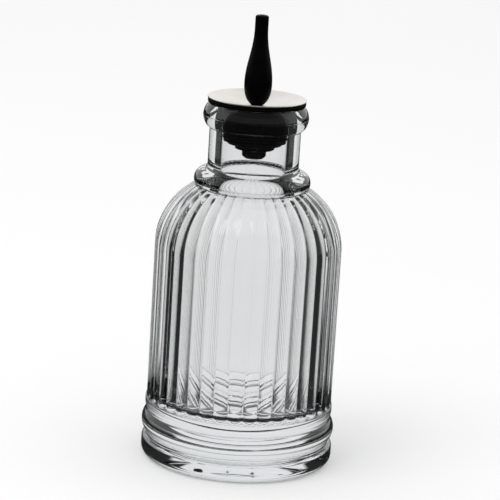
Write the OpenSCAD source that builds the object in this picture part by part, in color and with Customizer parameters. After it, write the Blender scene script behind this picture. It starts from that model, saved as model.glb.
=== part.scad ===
// Ribbed glass bitters bottle with a lift-out dasher top, in millimetres.
// The origin is at the middle of the foot, on the surface that the bottle stands on, and +Z is up.

/* [Body] */
// Diameter of the body over the ribs
body_d = 53.6; // [48:0.1:64]
// Height at which the straight ribs turn into the shoulder
body_h = 62.7; // [50:0.1:90]
// Radius of the domed shoulder, seen from the side
shoulder_r = 20; // [17:0.5:21]
// Thickness of the glass wall under the rib crests
wall_t = 3.8; // [3:0.1:5]
// Thickness of the glass floor in the middle
floor_t = 16.4; // [12:0.1:20]
// Radius between the floor and the wall, inside
floor_corner_r = 4; // [2:0.5:8]

/* [Ribs] */
// Number of convex ribs round the body
rib_count = 40; // [24:1:48]
// Depth of the groove between two ribs on the straight body
rib_depth = 0.75; // [0.3:0.05:1.2]

/* [Base] */
// Height of the plain base below the ribs
base_h = 17.2; // [15.5:0.1:20]
// Diameter of the plain band that the ribs stand on
band_d = 54.2; // [54:0.1:54.8]
// Diameter of the rounded bead above the foot
bead_d = 55.8; // [55:0.1:58]
// Height of the middle of the bead
bead_z = 10.3; // [9.5:0.1:10.5]
// Diameter of the foot
foot_d = 55.4; // [54.8:0.1:58]
// Height of the foot up to the groove below the bead
foot_h = 6; // [5:0.1:6.5]
// Depth of the groove between the foot and the bead, in from the foot
groove_t = 1.2; // [0.6:0.1:2]
// Radius of the foot's lower edge
foot_edge_r = 2.6; // [1:0.1:3]
// Diameter of the hollow under the foot
punt_d = 44; // [30:1:46]
// Depth of the hollow under the foot
punt_depth = 1.6; // [0.8:0.1:3]

/* [Neck] */
// Diameter of the neck
neck_d = 26; // [25:0.1:28]
// Diameter of the bore of the neck
bore_d = 18.6; // [17:0.1:20]
// Diameter over the collar bead at the foot of the neck
collar_d = 33.3; // [32:0.1:35]
// Thickness of the collar bead from top to bottom
collar_t = 6; // [5:0.1:6.5]
// Length of the neck from the middle of the collar bead to the top of the lip
neck_l = 22.1; // [19:0.1:28]
// Diameter over the rounded lip
lip_d = 30; // [29:0.1:32]
// Thickness of the rounded lip from top to bottom
lip_t = 7; // [5:0.1:8]
// Radius of the lip's rounded side
lip_side_r = 4.7; // [4.2:0.1:5.5]
// How much wider the mouth is than the bore, on the diameter
mouth_flare = 1; // [0.4:0.1:1.4]
// Length of the tapered part of the mouth
mouth_taper_l = 5.6; // [4:0.1:8]

/* [Stopper] */
// Diameter of the stopper's top flange
flange_d = 27.9; // [27:0.1:30]
// Height of the flange at its edge
flange_h = 1.2; // [1:0.1:2]
// Length of the stopper below the top of the lip
plug_l = 10.3; // [9.5:0.1:14]
// Diameter of the stopper between its sealing ribs
plug_d = 17.8; // [16:0.1:18]
// Number of sealing ribs round the stopper
seal_count = 2; // [1:1:2]
// Height of one sealing rib
seal_h = 0.8; // [0.5:0.1:1]
// Radial clearance between the stopper and the glass
plug_gap = 0.08; // [0.05:0.01:0.2]
// Height of the flange above the lip when the stopper is home
seat_gap = 0.1; // [0.05:0.01:0.2]

/* [Dasher] */
// Thickness of the steel drip dish
dish_t = 0.5; // [0.4:0.1:0.8]
// How far the middle of the drip dish lies below its rim
dish_depth = 2.2; // [1.2:0.1:2.6]
// Diameter of the flat middle of the drip dish
dish_flat_d = 7.4; // [7.2:0.1:9]
// How far the drip dish stands out over the flange
dish_rim_w = 0.1; // [0.05:0.05:0.3]
// Height of the spout above the middle of the drip dish
spout_h = 25.6; // [22:0.1:32]
// Largest diameter of the spout
spout_d = 7.9; // [6:0.1:8.5]
// Diameter of the spout at its tip
spout_tip_d = 3.8; // [3.4:0.1:4.4]
// Diameter of the hole in the spout's tip
dash_hole_d = 1.2; // [0.8:0.1:1.4]
// Outer diameter of the tube through the stopper
tube_d = 6.9; // [6:0.1:7]
// Bore of the tube through the stopper
tube_bore_d = 3.4; // [2.6:0.1:3.8]
// Length of the tube that shows below the nut
tube_end_l = 2.7; // [2:0.1:5]
// Diameter of the spigot that holds the spout
spigot_d = 2.3; // [2.1:0.1:2.6]
// Length of the spigot inside the spout
spigot_l = 5; // [4:0.1:7]
// Radial clearance between the tube and the stopper
tube_gap = 0.04; // [0.02:0.01:0.08]
// Diameter of the clamp washer
washer_d = 15.4; // [14.5:0.1:16]
// Thickness of the clamp washer
washer_t = 0.8; // [0.5:0.1:1.2]
// Diameter of the clamp nut
nut_d = 12.4; // [11:0.1:13.5]
// Height of the clamp nut
nut_h = 1.5; // [1.2:0.1:3]

/* [Hidden] */
$fn = 64;

body_r = body_d / 2;
bore_r = bore_d / 2;
neck_r = neck_d / 2;
inner_r = body_r - wall_t;
mouth_r = bore_r + mouth_flare / 2;

// How far a cut runs past the face that it opens.
over = 1;
// Rounded corners stop short of square, so that no two points of an outline meet.
turn_a = 80;

// The shoulder is an arc of shoulder_r whose middle lies shoulder_mid_r from the axis.
shoulder_mid_r = body_r - shoulder_r;
collar_tube_r = collar_t / 2;
collar_mid_r = collar_d / 2 - collar_tube_r;
// The ribs end under the collar bead, where the bead has drawn in by collar_tuck.
collar_tuck = 0.46;
collar_drop = sqrt(2 * collar_tube_r * collar_tuck - collar_tuck * collar_tuck);
join_r = collar_d / 2 - collar_tuck;
// How far the bead stands out over the last ring of the ribs
join_ledge = 0.1;
join_h = sqrt(pow(shoulder_r, 2) - pow(join_r - join_ledge - shoulder_mid_r, 2));
join_z = body_h + join_h;
collar_z = join_z + collar_drop;
mouth_z = collar_z + neck_l;
lip_mid_r = lip_d / 2 - lip_side_r;
lip_z = mouth_z - lip_t / 2;
lip_low_z = mouth_z - lip_t;

// Steps round one rib, and up the shoulder
rib_steps = 5;
shoulder_steps = 7;
// How steep a rib's side is where it meets the next rib, from 0 for flat to 1 for upright
rib_fullness = 0.84;

// Closure, placed from the top of the lip
flange_r = flange_d / 2;
flange_edge_r = 0.4;
plug_edge_r = 1.1;
seal_edge = 0.1;
// Pitch of the sealing ribs, in rib heights
seal_pitch = 2.2;
flange_z = mouth_z + seat_gap;
flange_top_z = flange_z + flange_h;
plug_bottom_z = mouth_z - plug_l;
taper_z = mouth_z - mouth_taper_l;
// Clearance between the dish and the stopper, and between the metal pieces that screw together
dish_gap = 0.08;
fit_gap = 0.02;
dish_r = flange_r + dish_rim_w;
dish_flat_r = dish_flat_d / 2;
dish_rim_z = flange_top_z + dish_gap + dish_t;
dish_floor_z = dish_rim_z - dish_depth;
spigot_r = spigot_d / 2;
tube_r = tube_d / 2;
tube_chamfer = 0.8;
// Solid metal between the bore of the tube and the dish
tube_top_t = 2.5;
washer_z = plug_bottom_z - washer_t - dish_gap;
nut_z = washer_z - nut_h - fit_gap;
nut_turn_w = 0.9;
nut_turn_h = 0.6;
tube_end_z = nut_z - tube_end_l;

// Height of the spout's widest part above the dish
bulb_h = 6.2;
// How far below the dish the bulb would close, which leaves it a foot to stand on
bulb_below = 0.5;
bulb_power = 2.4;
flank_power = 2.3;
// Share of the height above the bulb over which the spout narrows
flank_share = 0.83;
bulb_steps = 14;
flank_steps = 22;
tip_edge = 0.5;
hole_edge = 0.3;

// Points of an arc round c, from angle a0 to a1.
function arc(c, r, a0, a1, steps) =
    [for (k = [0:steps]) let (a = a0 + (a1 - a0) * k / steps) [c[0] + r * cos(a), c[1] + r * sin(a)]];

// How deep the surface lies below the crest at t, from -1 in one groove to 1 in the next.
function rib_fall(t, depth) = depth * (1 - sqrt(1 - rib_fullness * t * t)) / (1 - sqrt(1 - rib_fullness));

// Radius over the crests at h above the start of the shoulder.
function crest_r(h) = shoulder_mid_r + sqrt(pow(shoulder_r, 2) - h * h);

// Point s of rib i, and the whole ring of them. On the straight body h is 0.
function rib_point(i, s, h) =
    let (t = 2 * s / rib_steps - 1)
    let (a = (i + (t + 1) / 2) * 360 / rib_count)
    let (fall = rib_fall(t, rib_depth * crest_r(h) / body_r))
    let (r = shoulder_mid_r + sqrt(pow(shoulder_r - fall, 2) - h * h))
    [r * cos(a), r * sin(a)];
function rib_ring(h) = [for (i = [0:rib_count - 1]) for (s = [0:rib_steps - 1]) rib_point(i, s, h)];

// Radius of the mouth at height z, and of the stopper in it.
function mouth_at(z) = z <= taper_z ? bore_r : bore_r + (mouth_r - bore_r) * (z - taper_z) / mouth_taper_l;
function plug_at(z) = mouth_at(z) - plug_gap;

// Radius of the spout at height z above the dish: a full bulb that draws in to a slim tip.
function bulb_r(z) = spout_d / 2 * sqrt(1 - pow(abs(bulb_h - z) / (bulb_h + bulb_below), bulb_power));
function flank_r(z) =
    let (u = min(1, (z - bulb_h) / (flank_share * (spout_h - bulb_h))))
    (spout_tip_d + (spout_d - spout_tip_d) * pow(cos(90 * u), flank_power)) / 2;

// The straight ribs, as one prism.
module rib_column() {
    translate([0, 0, base_h])
        linear_extrude(body_h - base_h)
            polygon(rib_ring(0));
}

// The ribs run on over the dome and narrow towards the collar. Each ring is level.
module rib_dome() {
    join_a = asin(join_h / shoulder_r);
    heights = [for (k = [0:shoulder_steps]) shoulder_r * sin(join_a * k / shoulder_steps)];
    count = rib_count * rib_steps;
    rings = [for (h = heights) for (p = rib_ring(h)) [p[0], p[1], body_h + h]];
    sides = [
        for (k = [0:shoulder_steps - 1])
            for (i = [0:count - 1])
                let (j = (i + 1) % count)
                    [k * count + i, (k + 1) * count + i, (k + 1) * count + j, k * count + j]
    ];
    // Each end is a fan round a point on the axis, because the outline is scalloped.
    low_mid = len(rings);
    high_mid = low_mid + 1;
    high = shoulder_steps * count;
    bottom = [for (i = [0:count - 1]) [low_mid, i, (i + 1) % count]];
    top = [for (i = [0:count - 1]) [high_mid, high + (i + 1) % count, high + i]];
    mids = [[0, 0, body_h], [0, 0, join_z]];
    polyhedron(points = concat(rings, mids), faces = concat(bottom, top, sides));
}

// Foot, groove, bead and plain band, turned as one profile.
module base_profile() {
    foot_r = foot_d / 2;
    groove_r = foot_r - groove_t;
    groove_w = 0.6;
    band_h = 2;
    top_r = min(groove_t, foot_h - foot_edge_r);
    bead_r = 4.3;
    bead_a = 45;
    polygon(concat(
        [[0, 0], [foot_r - foot_edge_r, 0]],
        arc([foot_r - foot_edge_r, foot_edge_r], foot_edge_r, -turn_a, 0, 8),
        arc([foot_r - top_r, foot_h - top_r], top_r, 0, turn_a, 6),
        [[groove_r, foot_h], [groove_r, foot_h + groove_w]],
        arc([bead_d / 2 - bead_r, bead_z], bead_r, -bead_a, bead_a, 12),
        [[band_d / 2, base_h - band_h], [band_d / 2, base_h], [0, base_h]]
    ));
}

// Collar bead, neck and rounded lip, cut off level with the last ring of the ribs.
module neck_profile() {
    intersection() {
        union() {
            translate([0, join_z]) square([neck_r, lip_z - join_z]);
            translate([collar_mid_r, collar_z]) circle(collar_tube_r);
            translate([0, join_z]) square([collar_mid_r, collar_z + collar_tube_r - join_z]);
            intersection() {
                translate([lip_mid_r, lip_z]) circle(lip_side_r);
                translate([lip_mid_r, lip_low_z]) square([lip_side_r, lip_t]);
            }
            translate([0, lip_low_z]) square([lip_mid_r, lip_t]);
        }
        translate([0, join_z]) square([collar_d, mouth_z - join_z]);
    }
}

// The space for the liquid, the bore of the neck and the tapered mouth.
module cavity_profile() {
    // The glass is a little thinner over the shoulder, and its edge at the throat is round.
    thinning = 0.3;
    throat_r = 1;
    arc_r = shoulder_r - wall_t + thinning;
    mid_r = inner_r - arc_r;
    top_a = acos((bore_r + throat_r - mid_r) / arc_r);
    top_z = body_h + arc_r * sin(top_a);
    polygon(concat(
        [[0, floor_t], [inner_r - floor_corner_r, floor_t]],
        arc([inner_r - floor_corner_r, floor_t + floor_corner_r], floor_corner_r, -turn_a, 0, 8),
        arc([mid_r, body_h], arc_r, 0, top_a, 16),
        arc([bore_r + throat_r, top_z + throat_r], throat_r, 180 + turn_a, 180, 6),
        [[bore_r, taper_z], [mouth_r, mouth_z], [mouth_r, mouth_z + over], [0, mouth_z + over]]
    ));
}

// The shallow hollow under the foot, so that the bottle stands on a ring.
module punt_profile() {
    punt_r = punt_d / 2;
    cap_r = (punt_r * punt_r + punt_depth * punt_depth) / (2 * punt_depth);
    intersection() {
        translate([0, punt_depth - cap_r]) circle(cap_r);
        square([punt_r, punt_depth + over]);
    }
}

module glass_bottle() {
    color("lightblue", 0.5)
    difference() {
        union() {
            rotate_extrude() base_profile();
            rib_column();
            rib_dome();
            rotate_extrude() neck_profile();
        }
        rotate_extrude() cavity_profile();
        rotate_extrude() punt_profile();
    }
}

// The upper face follows the drip dish, which covers it with dish_gap between them.
module stopper_profile() {
    plug_r = plug_d / 2;
    seat_mid_z = dish_floor_z - dish_t - dish_gap;
    polygon(concat(
        [[0, plug_bottom_z]],
        arc([plug_r - plug_edge_r, plug_bottom_z + plug_edge_r], plug_edge_r, -90, 0, 6),
        [[plug_r, taper_z], [plug_at(taper_z), taper_z], [plug_at(flange_z), flange_z]],
        arc([flange_r - flange_edge_r, flange_z + flange_edge_r], flange_edge_r, -90, 0, 6),
        [[flange_r, flange_top_z], [dish_flat_r, seat_mid_z], [0, seat_mid_z]]
    ));
}

// One sealing rib with its middle at height z.
module seal_profile(z) {
    seal_r = bore_r - plug_gap;
    root_r = plug_d / 2 - over;
    polygon([
        [root_r, z - seal_h / 2],
        [seal_r - seal_edge, z - seal_h / 2],
        [seal_r, z - seal_h / 4],
        [seal_r, z + seal_h / 4],
        [seal_r - seal_edge, z + seal_h / 2],
        [root_r, z + seal_h / 2]
    ]);
}

// The soft stopper: a rimmed flange over the lip, and a tapered plug with sealing ribs.
module stopper() {
    color([0.05, 0.05, 0.05])
    rotate_extrude() difference() {
        union() {
            stopper_profile();
            for (k = [0:seal_count - 1]) seal_profile(taper_z - seal_h * (1 + seal_pitch * k));
        }
        square([tube_r + tube_gap, flange_top_z + over]);
    }
}

// A thin cone of sheet steel with a flat middle and a rolled edge.
module drip_dish() {
    edge = dish_t / 2;
    hole_r = spigot_r + fit_gap;
    color([0.85, 0.84, 0.81])
    rotate_extrude()
        polygon(concat(
            [[hole_r, dish_floor_z - dish_t], [dish_flat_r, dish_floor_z - dish_t]],
            arc([dish_r - edge, dish_rim_z - edge], edge, -90, 90, 8),
            [[dish_flat_r, dish_floor_z], [hole_r, dish_floor_z]]
        ));
}

// The spout stands on the dish, with the spigot in its foot and a small hole to its tip.
module spout() {
    tip_r = spout_tip_d / 2;
    hole_r = dash_hole_d / 2;
    flank_h = spout_h - tip_edge - bulb_h;
    color([0.03, 0.03, 0.03])
    translate([0, 0, dish_floor_z])
    rotate_extrude() difference() {
        polygon(concat(
            [[0, 0]],
            [for (k = [0:bulb_steps]) let (z = bulb_h * k / bulb_steps) [bulb_r(z), z]],
            [for (k = [1:flank_steps]) let (z = bulb_h + flank_h * k / flank_steps) [flank_r(z), z]],
            arc([tip_r - tip_edge, spout_h - tip_edge], tip_edge, 15, 90, 5),
            [[hole_r + hole_edge, spout_h], [hole_r, spout_h - hole_edge], [0, spout_h - hole_edge]]
        ));
        square([spigot_r + fit_gap, spigot_l + fit_gap]);
        square([hole_r, spout_h + over]);
    }
}

// The tube carries the spout on its spigot, above the dish, and the nut at its lower end.
module dash_tube() {
    top_z = dish_floor_z - dish_t;
    spigot_top_z = dish_floor_z + spigot_l;
    bore_top_z = top_z - tube_top_t;
    color([0.25, 0.25, 0.22])
    rotate_extrude() difference() {
        polygon([
            [0, tube_end_z],
            [tube_r - tube_chamfer, tube_end_z],
            [tube_r, tube_end_z + tube_chamfer],
            [tube_r, top_z],
            [spigot_r, top_z],
            [spigot_r, spigot_top_z],
            [0, spigot_top_z]
        ]);
        translate([0, tube_end_z - over]) square([tube_bore_d / 2, bore_top_z - tube_end_z + over]);
        translate([0, tube_end_z]) square([dash_hole_d / 2, spigot_top_z + over - tube_end_z]);
    }
}

module clamp_washer() {
    color([0.2, 0.2, 0.2])
    translate([0, 0, washer_z])
    difference() {
        cylinder(d = washer_d, h = washer_t);
        translate([0, 0, -over]) cylinder(r = tube_r + fit_gap, h = washer_t + 2 * over);
    }
}

// A hexagon nut with its lower corners turned off.
module clamp_nut() {
    nut_r = nut_d / 2;
    color([0.2, 0.2, 0.2])
    translate([0, 0, nut_z])
    difference() {
        intersection() {
            cylinder(d = nut_d, h = nut_h, $fn = 6);
            rotate_extrude()
                polygon([[0, 0], [nut_r - nut_turn_w, 0], [nut_r, nut_turn_h], [nut_r, nut_h], [0, nut_h]]);
        }
        translate([0, 0, -over]) cylinder(r = tube_r + fit_gap, h = nut_h + 2 * over);
    }
}

glass_bottle();
stopper();
drip_dish();
spout();
dash_tube();
clamp_washer();
clamp_nut();
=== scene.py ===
import math

import bpy
from mathutils import Matrix, Vector

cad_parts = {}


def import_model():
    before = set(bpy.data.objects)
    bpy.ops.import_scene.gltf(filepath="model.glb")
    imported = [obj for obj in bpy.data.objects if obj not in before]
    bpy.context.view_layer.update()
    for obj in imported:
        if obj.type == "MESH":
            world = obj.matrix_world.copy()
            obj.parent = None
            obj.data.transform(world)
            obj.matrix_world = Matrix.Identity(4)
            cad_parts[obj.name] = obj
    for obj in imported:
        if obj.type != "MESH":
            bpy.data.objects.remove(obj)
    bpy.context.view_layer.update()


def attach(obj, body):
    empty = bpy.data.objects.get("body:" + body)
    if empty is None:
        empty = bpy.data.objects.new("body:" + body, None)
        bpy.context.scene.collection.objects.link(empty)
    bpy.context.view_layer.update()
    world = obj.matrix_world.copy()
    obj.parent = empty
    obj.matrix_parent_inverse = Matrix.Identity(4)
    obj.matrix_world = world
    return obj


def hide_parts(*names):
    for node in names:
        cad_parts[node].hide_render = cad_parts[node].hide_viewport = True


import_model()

# The shapes are in millimetres and degrees, as (radius, height) points round the axis of the bottle.
MM = 0.001


# ---- outlines and meshes

def arc(c, r, a0, a1, steps, first=0):
    """Points of an arc round c from a0 to a1, without the first few if asked."""
    out = []
    for k in range(first, steps + 1):
        a = math.radians(a0 + (a1 - a0) * k / steps)
        out.append((c[0] + r * math.cos(a), c[1] + r * math.sin(a)))
    return out


def line(p, q, steps):
    """Points from p to q, without p."""
    return [(p[0] + (q[0] - p[0]) * k / steps, p[1] + (q[1] - p[1]) * k / steps) for k in range(1, steps + 1)]


def rounded(points, radius, steps=5):
    """The open outline with each inner corner turned into a small curve, smaller beside a short side."""
    curves_on_a_side = 2.2
    out = [points[0]]
    for a, b, c in zip(points, points[1:], points[2:]):
        r = min(radius, math.dist(a, b) / curves_on_a_side, math.dist(b, c) / curves_on_a_side)
        p = [b[i] + (a[i] - b[i]) * r / math.dist(a, b) for i in (0, 1)]
        q = [b[i] + (c[i] - b[i]) * r / math.dist(b, c) for i in (0, 1)]
        for k in range(steps + 1):
            t = k / steps
            out.append(tuple((1 - t) ** 2 * p[i] + 2 * t * (1 - t) * b[i] + t * t * q[i] for i in (0, 1)))
    return out + [points[-1]]


def rounded_ring(points, radius, steps=5):
    """The closed outline with every corner softened."""
    mid = tuple((points[-1][i] + points[0][i]) / 2 for i in (0, 1))
    return rounded([mid] + points + [mid], radius, steps)[:-1]


def signed_area(outline):
    return sum(p[0] * q[1] - q[0] * p[1] for p, q in zip(outline, outline[1:] + outline[:1])) / 2


def mesh_object(name, verts, faces):
    mesh = bpy.data.meshes.new(name)
    mesh.from_pydata([Vector(v) * MM for v in verts], [], faces)
    mesh.polygons.foreach_set("use_smooth", [True] * len(mesh.polygons))
    mesh.validate()
    mesh.update()
    obj = bpy.data.objects.new(name, mesh)
    bpy.context.scene.collection.objects.link(obj)
    return obj


def lathe(name, outline, count, reshape=None):
    """A closed outline turned round the axis in count steps. reshape(radius, angle) may change a radius."""
    if signed_area(outline) < 0:
        outline = outline[::-1]
    verts, faces = [], []
    n = len(outline)
    for i in range(count):
        a = 2 * math.pi * i / count
        for r, z in outline:
            q = reshape(r, a) if reshape else r
            verts.append((q * math.cos(a), q * math.sin(a), z))
    for i in range(count):
        j = (i + 1) % count
        for k in range(n):
            m = (k + 1) % n
            faces.append((i * n + k, j * n + k, j * n + m, i * n + m))
    return mesh_object(name, verts, faces)


# ---- the glass bottle

# A rib's points lie at RIB_STEPS, from -1 in one groove towards 1 in the next. The grooves are softened by
# taking the mean of the profile over GROOVE_SHIFTS.
RIB_COUNT, RIB_DEPTH, RIB_FULLNESS = 40, 0.75, 0.84
RIB_STEPS = (-1, -0.93, -0.84, -0.66, -0.38, 0, 0.38, 0.66, 0.84, 0.93)
GROOVE_SHIFTS = (-0.12, -0.06, 0, 0.06, 0.12)
# The ribs run out at their feet, as (height above the base, share of the full depth), and lose RIB_TOP_LOSS of
# that depth on the way up the dome, where they meet the collar bead
RIB_FEET = ((0.02, 0.1), (0.1, 0.35), (0.25, 0.6), (0.5, 0.8), (0.9, 0.93), (1.6, 1))
RIB_TOP_LOSS = 0.45
WALL_LEVELS = (32, 47)
DOME_STEPS = 28

PUNT_R, PUNT_DEPTH, PUNT_EDGE_R = 22, 1.6, 0.6
PUNT_RADII = (1.5, 4, 8, 12, 16, 19, 21)
RING_R = 22.9
FOOT_R, FOOT_EDGE_R, FOOT_TOP_R, FOOT_TOP_Z = 27.7, 2.6, 1.3, 4.7
GROOVE = [(26.42, 6.15), (26.36, 6.4), (26.4, 6.7)]
BEAD_R, BEAD_TUBE_R, BEAD_Z, BEAD_HALF_A = 27.9, 4.3, 10.3, 46
BAND = [
    (26.66, 13.75), (26.86, 14.3), (27.0, 14.8), (27.08, 15.4), (27.1, 16),
    (27.1, 16.9), (27.06, 17.05), (26.95, 17.14),
]
BASE_H = 17.2
BODY_R, BODY_TOP, DOME_R = 26.8, 62.7, 20
DOME_MID_R = BODY_R - DOME_R
COLLAR_TUBE_R, COLLAR_MID_R, COLLAR_Z = 3, 13.65, 82.02
DOME_END_Z = COLLAR_Z - 1.55
NECK_R = 13
NECK = [
    (14.0, 85.0), (13.6, 85.12), (13.25, 85.4), (13.06, 85.85), (NECK_R, 86.5),
    (NECK_R, 90), (NECK_R, 94), (NECK_R, 96.6), (13.04, 96.95), (13.16, 97.2), (13.36, 97.45),
]
LIP_SIDE_R, LIP_MID_R, LIP_Z = 4.7, 10.3, 100.62
LIP_SEAM = [(15.0, 100.58), (15.06, 100.62), (15.0, 100.66)]
LIP_SEAM_HALF_A = 1.6
LIP_EDGE_MID, LIP_EDGE_R, LIP_TOP_R = (13.25, 103.42), 0.7, 11.6
MOUTH_R, MOUTH_Z, MOUTH_EDGE_R = 9.8, 104.12, 0.5
TAPER_TOP_Z, TAPER_Z = 103.52, 98.52
BORE_R, BORE_LOW_Z, BORE_EDGE_R = 9.3, 81.5, 1.9
INNER_R, INNER_DOME_R = 23, 16.5
INNER_MID_R = INNER_R - INNER_DOME_R
INNER_WALL_LEVELS = (45, 30)
FLOOR_Z, FLOOR_CORNER_R = 16.4, 4
FLOOR_RADII = (17, 12, 7, 2.5)


def rib_fall(t):
    """How deep the glass lies below the crest at t, a place between two grooves as in RIB_STEPS."""
    total = 0
    for shift in GROOVE_SHIFTS:
        u = (t + shift + 1) % 2 - 1
        total += (1 - math.sqrt(1 - RIB_FULLNESS * u * u)) / (1 - math.sqrt(1 - RIB_FULLNESS))
    return RIB_DEPTH * total / len(GROOVE_SHIFTS)


def rib_rays():
    """For each point round the body: its angle on a ribbed level, its angle on a plain one and its fall."""
    rays = []
    for i in range(RIB_COUNT):
        for k, t in enumerate(RIB_STEPS):
            ribbed = (i + (t + 1) / 2) * 2 * math.pi / RIB_COUNT
            even = (i + k / len(RIB_STEPS)) * 2 * math.pi / RIB_COUNT
            rays.append((ribbed, even, rib_fall(t)))
    return rays


def ribbed_radius(z, fall):
    """Radius of the ribbed wall, whose grooves get shallower as the radius shrinks over the dome."""
    h = max(0, z - BODY_TOP)
    crest = DOME_MID_R + math.sqrt(DOME_R ** 2 - h * h)
    return DOME_MID_R + math.sqrt((DOME_R - fall * crest / BODY_R) ** 2 - h * h)


def base_outline():
    """From the hollow under the foot out over the standing ring and up to the top of the plain band."""
    hollow = [(r, PUNT_DEPTH * (1 - (r / PUNT_R) ** 2)) for r in PUNT_RADII]
    ring = arc((RING_R, PUNT_EDGE_R), PUNT_EDGE_R, 235, 270, 4)
    foot_mid_r = FOOT_R - FOOT_EDGE_R
    edge = [(foot_mid_r, 0)] + arc((foot_mid_r, FOOT_EDGE_R), FOOT_EDGE_R, -90, 0, 12, first=1)
    top = arc((FOOT_R - FOOT_TOP_R, FOOT_TOP_Z), FOOT_TOP_R, 0, 84, 9)
    bead = arc((BEAD_R - BEAD_TUBE_R, BEAD_Z), BEAD_TUBE_R, -BEAD_HALF_A, BEAD_HALF_A, 16)
    return hollow + ring + edge + top + GROOVE + bead + BAND


def neck_outline():
    """From the collar bead up over the lip to the mouth."""
    lip_mid = (LIP_MID_R, LIP_Z)
    collar = arc((COLLAR_MID_R, COLLAR_Z), COLLAR_TUBE_R, -29, 78, 22)
    lip_low = arc(lip_mid, LIP_SIDE_R, -41, -LIP_SEAM_HALF_A, 14)
    lip_high = arc(lip_mid, LIP_SIDE_R, LIP_SEAM_HALF_A, 37, 14)
    lip_edge = arc(LIP_EDGE_MID, LIP_EDGE_R, 50, 90, 5)
    return collar + NECK + lip_low + LIP_SEAM + lip_high + lip_edge + [(LIP_TOP_R, MOUTH_Z)]


def inner_outline():
    """From the mouth down the bore and round the space for the liquid to the middle of its floor."""
    mouth = arc((MOUTH_R + MOUTH_EDGE_R, MOUTH_Z - MOUTH_EDGE_R), MOUTH_EDGE_R, 90, 172, 6)
    taper = line((MOUTH_R, TAPER_TOP_Z), (BORE_R, TAPER_Z), 4)
    bore = line((BORE_R, TAPER_Z), (BORE_R, BORE_LOW_Z), 3)
    edge_mid_r = BORE_R + BORE_EDGE_R
    top_a = math.degrees(math.acos((edge_mid_r - INNER_MID_R) / INNER_DOME_R))
    top_z = BODY_TOP + INNER_DOME_R * math.sin(math.radians(top_a))
    edge = arc((edge_mid_r, top_z + BORE_EDGE_R), BORE_EDGE_R, 180, 256, 9)
    dome = arc((INNER_MID_R, BODY_TOP), INNER_DOME_R, top_a, 0, 26)
    wall = [(INNER_R, z) for z in INNER_WALL_LEVELS]
    corner = arc((INNER_R - FLOOR_CORNER_R, FLOOR_Z + FLOOR_CORNER_R), FLOOR_CORNER_R, 0, -88, 14)
    bottom = [(r, FLOOR_Z) for r in FLOOR_RADII]
    return mouth + taper + bore + edge + dome + wall + corner + bottom


def ribbed_levels():
    """The ribbed wall from the base to the collar, as (height, share of the ribs' full depth)."""
    levels = [(BASE_H + up, share) for up, share in RIB_FEET] + [(z, 1) for z in WALL_LEVELS]
    join_a = math.asin((DOME_END_Z - BODY_TOP) / DOME_R)
    for k in range(DOME_STEPS + 1):
        along = k / DOME_STEPS
        levels.append((BODY_TOP + DOME_R * math.sin(join_a * along), 1 - RIB_TOP_LOSS * along ** 2))
    return levels


def glass_bottle():
    """One closed skin, from the middle of the hollow under the foot to the middle of the floor inside."""
    rays = rib_rays()

    def plain(outline):
        return [[(r * math.cos(even), r * math.sin(even), z) for _, even, _ in rays] for r, z in outline]

    def ribbed(z, share):
        ring = []
        for a, _, fall in rays:
            r = ribbed_radius(z, fall * share)
            ring.append((r * math.cos(a), r * math.sin(a), z))
        return ring

    rings = plain(base_outline())
    rings += [ribbed(z, share) for z, share in ribbed_levels()]
    rings += plain(neck_outline() + inner_outline())
    verts = [(0, 0, PUNT_DEPTH)] + [v for ring in rings for v in ring] + [(0, 0, FLOOR_Z)]
    n = len(rays)
    first, top, last = 1, 1 + (len(rings) - 1) * n, len(verts) - 1
    faces = []
    for i in range(n):
        j = (i + 1) % n
        faces.append((0, first + j, first + i))
        for low in range(first, top, n):
            high = low + n
            faces.append((low + i, low + j, high + j, high + i))
        faces.append((top + i, top + j, last))
    return mesh_object("ribbed_glass", verts, faces)


# ---- the stopper and the dasher

HOLE_R, PLUG_R, SEAL_R, PLUG_MOUTH_R = 3.49, 8.9, 9.22, 9.72
LOW_SEAL = [(PLUG_R, 94.98), (SEAL_R, 95.06), (SEAL_R, 95.72), (PLUG_R, 95.8)]
HIGH_SEAL = [(PLUG_R, 96.8), (SEAL_R, 96.9), (SEAL_R, 97.5), (PLUG_R, 98.5)]
PLUG_END_Z, FLANGE_Z, FLANGE_R, FLANGE_H = 93.82, 104.22, 13.95, 1.2
SEAT_R, SEAT_Z = 3.7, 103.22
DISH_FLOOR_Z, DISH_RIM_Z, DISH_R, DISH_T, DISH_EDGE_R = 103.82, 106.02, 14.05, 0.5, 0.25
# How the dish falls from its rim, as (distance in from the edge, distance down)
RIM_FALLS = ((0.35, 0.01), (0.9, 0.13))
# WAY_R is the radius of the narrow way for the liquid, in the spigot and the spout
SPIGOT_HOLE_R, WAY_R = 1.17, 0.6
SPOUT_H, SPOUT_R, TIP_R, TIP_EDGE_R, TIP_HOLE_EDGE_R = 25.6, 3.95, 1.9, 0.6, 0.3
# The spout's bulb is a power curve up to BULB_H, and its flank a power of a cosine from there
BULB_H, BULB_BELOW, BULB_POWER = 6.2, 0.5, 2.4
SPOUT_FOOT_R, FLANK_SHARE, FLANK_POWER = 1.5, 0.83, 2.3
SOCKET_H, SOCKET_CONE_H, WAY_LEVEL_H = 5.02, 0.18, 24.2
TUBE_R, TUBE_BORE_R, TUBE_END_Z, TUBE_TOP_Z = 3.45, 1.7, 88.73, 103.31
TUBE_CHAMFER, TUBE_BORE_CHAMFER = 0.8, 0.15
SPIGOT_R, SPIGOT_TOP_Z, NARROW_Z = 1.15, 108.8, 100.8
CLAMP_HOLE_R = 3.47
WASHER_R, WASHER_LOW_Z, WASHER_TOP_Z = 7.7, 92.95, 93.74
NUT_R, NUT_LOW_Z, NUT_TOP_Z, NUT_CHAMFER_IN, NUT_CHAMFER_UP = 6.2, 91.43, 92.92, 0.9, 0.6


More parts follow.
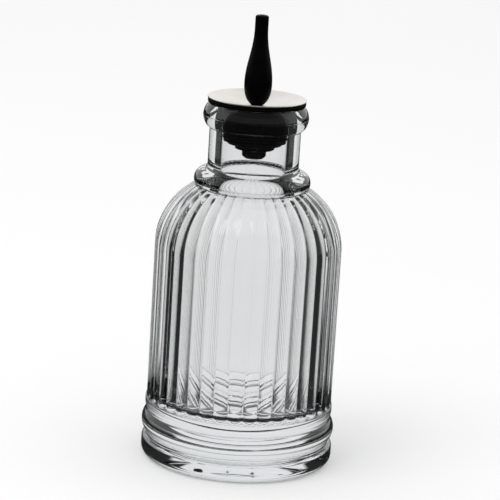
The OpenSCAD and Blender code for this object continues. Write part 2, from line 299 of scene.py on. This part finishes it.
def stopper():
    """The soft plug with two sealing ribs, and the flange that lies on the lip."""
    plug = [(HOLE_R, PLUG_END_Z), (PLUG_R, PLUG_END_Z)] + LOW_SEAL + HIGH_SEAL
    taper = [(SEAL_R, TAPER_Z), (PLUG_MOUTH_R, FLANGE_Z)]
    flange = [(FLANGE_R, FLANGE_Z), (FLANGE_R, FLANGE_Z + FLANGE_H), (SEAT_R, SEAT_Z), (HOLE_R, SEAT_Z)]
    return lathe("stopper_moulding", rounded_ring(plug + taper + flange, radius=0.4), count=192)


def drip_dish():
    """Sheet steel that covers the flange, with a rolled rim and a flat for the spout."""
    low_z, edge_mid_r = DISH_FLOOR_Z - DISH_T, DISH_R - DISH_EDGE_R
    under = [(SPIGOT_HOLE_R, low_z), (SEAT_R, low_z), (edge_mid_r, DISH_RIM_Z - DISH_T)]
    rim = arc((edge_mid_r, DISH_RIM_Z - DISH_EDGE_R), DISH_EDGE_R, -70, 90, 10)
    over = [(DISH_R - inward, DISH_RIM_Z - down) for inward, down in RIM_FALLS]
    over += [(SEAT_R + 0.05, DISH_FLOOR_Z + 0.02), (SPIGOT_HOLE_R, DISH_FLOOR_Z)]
    outline = rounded(under, radius=0.8, steps=4) + rim + rounded(over, radius=0.8)
    return lathe("dish_sheet", outline, count=192)


def spout():
    """A teardrop on the dish, with heights counted from there, and the way for the liquid through it."""
    bulb_steps, flank_steps = 24, 48
    outer = [(SPOUT_FOOT_R, 0)]
    for k in range(1, bulb_steps + 1):
        z = BULB_H * k / bulb_steps
        below = (BULB_H - z) / (BULB_H + BULB_BELOW)
        outer.append((SPOUT_R * math.sqrt(1 - below ** BULB_POWER), z))
    for k in range(1, flank_steps + 1):
        z = BULB_H + (SPOUT_H - TIP_EDGE_R - BULB_H) * k / flank_steps
        u = min(1, (z - BULB_H) / (FLANK_SHARE * (SPOUT_H - BULB_H)))
        outer.append((TIP_R + (SPOUT_R - TIP_R) * math.cos(math.pi / 2 * u) ** FLANK_POWER, z))
    tip = arc((TIP_R - TIP_EDGE_R, SPOUT_H - TIP_EDGE_R), TIP_EDGE_R, 12, 84, 7)
    tip += arc((WAY_R + TIP_HOLE_EDGE_R, SPOUT_H - TIP_HOLE_EDGE_R), TIP_HOLE_EDGE_R, 90, 180, 4)
    way = [(WAY_R, WAY_LEVEL_H), (WAY_R, SOCKET_H + SOCKET_CONE_H)]
    way += [(SPIGOT_HOLE_R, SOCKET_H), (SPIGOT_HOLE_R, 0)]
    return lathe("spout_shell", [(r, z + DISH_FLOOR_Z) for r, z in outer + tip + way], count=120)


def dash_tube():
    """The tube through the stopper with the spigot that carries the spout."""
    end = [(TUBE_BORE_R, TUBE_END_Z + TUBE_BORE_CHAMFER), (TUBE_BORE_R + TUBE_BORE_CHAMFER, TUBE_END_Z)]
    chamfer = [(TUBE_R - TUBE_CHAMFER, TUBE_END_Z), (TUBE_R, TUBE_END_Z + TUBE_CHAMFER)]
    spigot = [(TUBE_R, TUBE_TOP_Z), (SPIGOT_R, TUBE_TOP_Z), (SPIGOT_R, SPIGOT_TOP_Z), (WAY_R, SPIGOT_TOP_Z)]
    way = [(WAY_R, NARROW_Z), (TUBE_BORE_R, NARROW_Z)]
    outline = rounded_ring(end + chamfer + spigot + way, radius=0.18, steps=4)
    return lathe("tube_metal", outline, count=96)


def clamp_washer():
    low_side = [(CLAMP_HOLE_R, WASHER_LOW_Z), (WASHER_R, WASHER_LOW_Z)]
    high_side = [(WASHER_R, WASHER_TOP_Z), (CLAMP_HOLE_R, WASHER_TOP_Z)]
    return lathe("washer_disc", rounded_ring(low_side + high_side, radius=0.22, steps=4), count=120)


def clamp_nut():
    flat_r = NUT_R * math.cos(math.pi / 6)

    def hexagon(r, a):
        side = (a + math.pi / 6) % (math.pi / 3) - math.pi / 6
        return min(r, flat_r / math.cos(side))

    outside = [(NUT_R - NUT_CHAMFER_IN, NUT_LOW_Z), (NUT_R, NUT_LOW_Z + NUT_CHAMFER_UP), (NUT_R, NUT_TOP_Z)]
    outline = [(CLAMP_HOLE_R, NUT_LOW_Z)] + outside + [(CLAMP_HOLE_R, NUT_TOP_Z)]
    return lathe("nut_body", rounded_ring(outline, radius=0.16, steps=3), count=180, reshape=hexagon)


# ---- nodes

# Nearly all of a noise lies between these two
NOISE_LOW, NOISE_HIGH = 0.3, 0.7


class Graph:
    """The nodes of a material or the world. A value is a constant or the output of another node."""

    def __init__(self, owner):
        owner.use_nodes = True
        self.nodes, self.links = owner.node_tree.nodes, owner.node_tree.links
        self.nodes.clear()

    def node(self, kind, inputs=None, **settings):
        """A new node. inputs gives the value of each input by name or place."""
        made = self.nodes.new("ShaderNode" + kind)
        for name, value in settings.items():
            setattr(made, name, value)
        for name, value in (inputs or {}).items():
            if isinstance(value, bpy.types.NodeSocket):
                self.links.new(value, made.inputs[name])
            else:
                made.inputs[name].default_value = value
        return made

    def output(self, kind, **inputs):
        self.node("Output" + kind, inputs)

    def place(self):
        """Where a point of the object lies, in metres from the foot of the bottle."""
        return self.node("TexCoord").outputs["Object"]

    def light_path(self):
        return self.node("LightPath").outputs

    def math(self, operation, *values):
        return self.node("Math", dict(enumerate(values)), operation=operation).outputs[0]

    def choose(self, which, no, yes):
        """yes where which is 1, and no where it is 0."""
        return self.node("Mix", {"Factor": which, "A": no, "B": yes}).outputs["Result"]

    def spread(self, value, start, end, low, high, curve="LINEAR"):
        inputs = {"Value": value, "From Min": start, "From Max": end, "To Min": low, "To Max": high}
        return self.node("MapRange", inputs, interpolation_type=curve).outputs[0]

    def step(self, value, start, fade, low=0, high=1):
        """low up to start, then a soft change to high over the length of fade."""
        return self.spread(value, start, start + fade, low, high, "SMOOTHSTEP")

    def noise(self, scale, detail, stretch=(1, 1, 1)):
        where = self.node("Mapping", {"Vector": self.place(), "Scale": stretch}).outputs[0]
        return self.node("TexNoise", {"Vector": where, "Scale": scale, "Detail": detail}).outputs["Fac"]

    def turned_lines(self, scale, detail=3):
        """Fine circles round the axis, as a noise of the distance to it."""
        flat = self.node("VectorMath", {0: self.place(), 1: (1, 1, 0)}, operation="MULTIPLY").outputs[0]
        out = self.node("VectorMath", {0: flat}, operation="LENGTH").outputs["Value"]
        inputs = {"W": out, "Scale": scale, "Detail": detail}
        return self.node("TexNoise", inputs, noise_dimensions="1D").outputs["Fac"]

    def number(self, noise, low, high):
        """A noise brought to the range from low to high."""
        return self.spread(noise, NOISE_LOW, NOISE_HIGH, low, high)

    def colour(self, noise, low, high):
        """A noise turned into the colours from low to high."""
        made = self.node("ValToRGB", {"Fac": noise})
        for stop, place, colour in zip(made.color_ramp.elements, (NOISE_LOW, NOISE_HIGH), (low, high)):
            stop.position, stop.color = place, (*colour, 1)
        return made.outputs["Color"]

    def bump(self, height, distance, strength):
        inputs = {"Height": height, "Distance": distance, "Strength": strength}
        return self.node("Bump", inputs).outputs[0]

    def solid(self, **values):
        """One shader for the whole material. An underscore in the name of an input stands for a space."""
        inputs = {name.replace("_", " "): value for name, value in values.items()}
        return self.node("BsdfPrincipled", inputs).outputs[0]


# ---- materials of the pieces

# How strongly the black pieces shine, and how far the roughness of the dark metals strays
BLACK_SHEEN = 0.03
ROUGH_SPREAD = 0.06


def grey(value):
    return value, value, value


def clear_glass():
    """Clear glass with a faint grey-blue in thick places and very weak ripples from the mould."""
    made = bpy.data.materials.new("clear_pressed_glass")
    g = Graph(made)
    shader = g.solid(
        Base_Color=g.colour(g.noise(scale=35, detail=2), (0.975, 0.985, 0.99), (0.99, 0.995, 0.995)),
        Transmission_Weight=1,
        IOR=1.5,
        Roughness=0,
        Normal=g.bump(g.noise(scale=60, detail=1, stretch=(1, 1, 0.4)), distance=0.00006, strength=0.2),
    )
    depth = g.node("VolumeAbsorption", {"Color": (0.78, 0.85, 0.88, 1), "Density": 6}).outputs[0]
    g.output("Material", Surface=shader, Volume=depth)
    return made


def black_rubber():
    made = bpy.data.materials.new("black_rubber")
    g = Graph(made)
    fine = g.noise(scale=900, detail=4)
    g.output("Material", Surface=g.solid(
        Base_Color=g.colour(fine, grey(0.0012), grey(0.0022)),
        Roughness=g.number(g.noise(scale=250, detail=3), 0.42, 0.58),
        Specular_IOR_Level=BLACK_SHEEN,
        Normal=g.bump(fine, distance=0.00003, strength=0.3),
    ))
    return made


def satin_steel():
    made = bpy.data.materials.new("satin_steel")
    g = Graph(made)
    spun = g.turned_lines(scale=2600)
    g.output("Material", Surface=g.solid(
        Base_Color=g.colour(g.noise(scale=160, detail=3), (0.76, 0.735, 0.69), (0.82, 0.80, 0.76)),
        Metallic=1,
        Roughness=g.number(spun, 0.2, 0.3),
        Normal=g.bump(spun, distance=0.00001, strength=0.25),
    ))
    return made


def black_enamel():
    made = bpy.data.materials.new("black_enamel")
    g = Graph(made)
    cloud = g.noise(scale=300, detail=3)
    g.output("Material", Surface=g.solid(
        Base_Color=g.colour(cloud, grey(0.0008), (0.0016, 0.0016, 0.0017)),
        Roughness=g.number(cloud, 0.26, 0.36),
        Specular_IOR_Level=BLACK_SHEEN,
        Normal=g.bump(g.noise(scale=700, detail=2), distance=0.00002, strength=0.2),
    ))
    return made


def dark_metal(name, low, high, rough):
    """Turned metal between two dark colours."""
    made = bpy.data.materials.new(name)
    g = Graph(made)
    spun = g.turned_lines(scale=3000)
    g.output("Material", Surface=g.solid(
        Base_Color=g.colour(g.noise(scale=400, detail=4), low, high),
        Metallic=1,
        Roughness=g.number(spun, rough - ROUGH_SPREAD, rough + ROUGH_SPREAD),
        Normal=g.bump(spun, distance=0.00001, strength=0.3),
    ))
    return made


def dress(obj, mat, node, body):
    obj.data.materials.clear()
    obj.data.materials.append(mat)
    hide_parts(node)
    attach(obj, body)


# ---- floor and world

# What glass shows of the room. Straight through, it is pale towards the back, the front and the sides, and dark
# in four corners between them, from CORNER_FROM to CORNER_TO degrees off the line from front to back. By a
# reflection inside the glass, all of the room beyond INNER_FROM degrees off the line to the back is dark.
# Heights in the world are the upward share of a direction, which is 1 straight up.
SEEN_THROUGH = 0.86
CORNER_FROM, CORNER_FADE_IN, CORNER_TO, CORNER_FADE_OUT, CORNER_LIGHT = 34, 24, 80, 5, 0.1
CORNER_UP_TO, CORNER_UP_FADE = 0.08, 0.14
INNER_FROM, INNER_FADE, INNER_LIGHT = 26, 5, 0.02
INNER_UP_TO, INNER_UP_FADE = 0.6, 0.2

# What a shiny surface reflects: little of the floor, less of the world high up and less on the camera's side,
# which begins NEAR_SIDE_FROM degrees off the line to the back
FLOOR_GLOSS = 0.05
HIGH_FROM, HIGH_FADE, HIGH_GLOSS = 0.5, 0.25, 0.6
NEAR_SIDE_FROM, NEAR_SIDE_FADE, NEAR_SIDE_GLOSS = 95, 25, 0.3

WORLD_LIGHT = 0.85
# The floor reaches this far each way, in metres, and the camera sees it lifted a little towards white
FLOOR_REACH, FLOOR_LIFT = 6, 0.14


def bearing(g, along, across):
    """Angle between a level direction and the line that along is measured on."""
    return g.math("DEGREES", g.math("ARCTAN2", across, along))


def in_corner(g, across, along):
    """1 in the four corners of the room and 0 near the lines between them."""
    angle = bearing(g, g.math("ABSOLUTE", along), across)
    out_of = g.step(angle, CORNER_TO, CORNER_FADE_OUT)
    return g.math("SUBTRACT", g.step(angle, CORNER_FROM, CORNER_FADE_IN), out_of)


def seen_through(g, path, corner, mirrored):
    """How bright glass shows the room, from how dark it is straight through and by a reflection inside."""
    straight = g.choose(corner, SEEN_THROUGH, CORNER_LIGHT)
    by_mirror = g.choose(mirrored, SEEN_THROUGH, INNER_LIGHT)
    reflected = g.math("GREATER_THAN", path["Glossy Depth"], 0.5)
    return g.choose(reflected, straight, by_mirror)


def floor():
    mesh = bpy.data.meshes.new("floor")
    corners = [(-1, -1), (1, -1), (1, 1), (-1, 1)]
    mesh.from_pydata([(x * FLOOR_REACH, y * FLOOR_REACH, 0) for x, y in corners], [], [(0, 1, 2, 3)])
    obj = bpy.data.objects.new("floor", mesh)
    bpy.context.scene.collection.objects.link(obj)
    made = bpy.data.materials.new("pale_floor")
    g = Graph(made)
    path = g.light_path()
    parts = g.node("SeparateXYZ", {0: g.place()}).outputs
    across = g.math("ABSOLUTE", parts["X"])
    aside = g.step(bearing(g, parts["Y"], across), INNER_FROM, INNER_FADE)
    through = seen_through(g, path, in_corner(g, across, parts["Y"]), aside)
    share = g.choose(path["Is Glossy Ray"], 1, FLOOR_GLOSS)
    share = g.choose(path["Is Transmission Ray"], share, 0)
    pale = g.colour(g.noise(scale=3, detail=2), grey(0.9), grey(0.91))
    shaded = g.node("VectorMath", {0: pale, "Scale": share}, operation="SCALE").outputs[0]
    diffuse = g.node("BsdfDiffuse", {"Color": shaded}).outputs[0]
    lift = g.math("MULTIPLY", path["Is Camera Ray"], FLOOR_LIFT)
    strength = g.choose(path["Is Transmission Ray"], lift, through)
    glow = g.node("Emission", {"Strength": strength}).outputs[0]
    g.output("Material", Surface=g.node("AddShader", {0: diffuse, 1: glow}).outputs[0])
    mesh.materials.append(made)


def world():
    made = bpy.data.worlds.new("studio")
    bpy.context.scene.world = made
    g = Graph(made)
    path = g.light_path()
    parts = g.node("SeparateXYZ", {0: g.node("TexCoord").outputs["Generated"]}).outputs
    up = parts["Z"]
    across = g.math("ABSOLUTE", parts["X"])
    angle = bearing(g, parts["Y"], across)
    low = g.step(up, CORNER_UP_TO, CORNER_UP_FADE, 1, 0)
    corner = g.math("MULTIPLY", in_corner(g, across, parts["Y"]), low)
    low = g.step(up, INNER_UP_TO, INNER_UP_FADE, 1, 0)
    aside = g.math("MULTIPLY", g.step(angle, INNER_FROM, INNER_FADE), low)
    near_side = g.step(angle, NEAR_SIDE_FROM, NEAR_SIDE_FADE)
    gloss = g.step(up, HIGH_FROM, HIGH_FADE, 1, HIGH_GLOSS)
    gloss = g.math("MULTIPLY", gloss, g.step(near_side, 0, 1, 1, NEAR_SIDE_GLOSS))
    strength = g.choose(path["Is Glossy Ray"], WORLD_LIGHT, gloss)
    strength = g.choose(path["Is Transmission Ray"], strength, seen_through(g, path, corner, aside))
    strength = g.choose(path["Is Camera Ray"], strength, 1)
    light = g.node("Background", {"Color": (1, 1, 1, 1), "Strength": strength}).outputs[0]
    g.output("World", Surface=light)


# ---- lamp and camera, in metres

KEY_PLACE, KEY_TARGET, KEY_SIDE, KEY_POWER = (-0.5, -0.4, 0.9), (0, 0, 0.05), 0.6, 2.0

CAMERA_AZIMUTH, CAMERA_ROLL = -2.8, 3.55
CAMERA_OUT, CAMERA_UP = 0.720, 0.235
AIM_RIGHT, AIM_UP = 0.0006, 0.0615
FOCAL_PIXELS, FRAME_PIXELS, SENSOR = 2582, 500, 36
CLIP_START, CLIP_END = 0.01, 30


def key_lamp():
    """A soft lamp from the upper left, which no surface shows as a reflection."""
    data = bpy.data.lights.new("key", "AREA")
    data.shape = "RECTANGLE"
    data.size = data.size_y = KEY_SIDE
    data.energy = KEY_POWER
    obj = bpy.data.objects.new("key", data)
    obj.location = KEY_PLACE
    obj.rotation_mode = "QUATERNION"
    obj.rotation_quaternion = (Vector(KEY_TARGET) - Vector(KEY_PLACE)).to_track_quat("-Z", "Y")
    obj.visible_glossy = False
    bpy.context.scene.collection.objects.link(obj)


def camera():
    """From the front and a little above, rolled so that the bottle leans a little to the right."""
    data = bpy.data.cameras.new("camera")
    data.sensor_width = SENSOR
    data.lens = FOCAL_PIXELS / FRAME_PIXELS * SENSOR
    data.clip_start, data.clip_end = CLIP_START, CLIP_END
    obj = bpy.data.objects.new("camera", data)
    bpy.context.scene.collection.objects.link(obj)
    a = math.radians(CAMERA_AZIMUTH)
    right = Vector((math.cos(a), math.sin(a), 0))
    place = Vector((math.sin(a) * CAMERA_OUT, -math.cos(a) * CAMERA_OUT, CAMERA_UP))
    target = right * AIM_RIGHT + Vector((0, 0, AIM_UP))
    look = (target - place).to_track_quat("-Z", "Y").to_matrix()
    roll = Matrix.Rotation(math.radians(CAMERA_ROLL), 3, "Z")
    obj.rotation_mode = "QUATERNION"
    obj.location = place
    obj.rotation_quaternion = (look @ roll).to_quaternion()
    bpy.context.scene.camera = obj


# ---- the scene

tube_steel = dark_metal("tube_steel", (0.03, 0.03, 0.026), (0.045, 0.045, 0.038), 0.35)
black_steel = dark_metal("black_steel", (0.006, 0.006, 0.006), (0.012, 0.012, 0.013), 0.4)

dress(glass_bottle(), clear_glass(), "glass_bottle", "bottle")
dress(stopper(), black_rubber(), "stopper", "stopper")
dress(drip_dish(), satin_steel(), "drip_dish", "dasher")
dress(spout(), black_enamel(), "spout", "dasher")
dress(dash_tube(), tube_steel, "dash_tube", "dasher")
dress(clamp_washer(), black_steel, "clamp_washer", "dasher")
dress(clamp_nut(), black_steel, "clamp_nut", "dasher")
floor()
world()
key_lamp()
camera()
bpy.context.scene.view_settings.view_transform = "Standard"
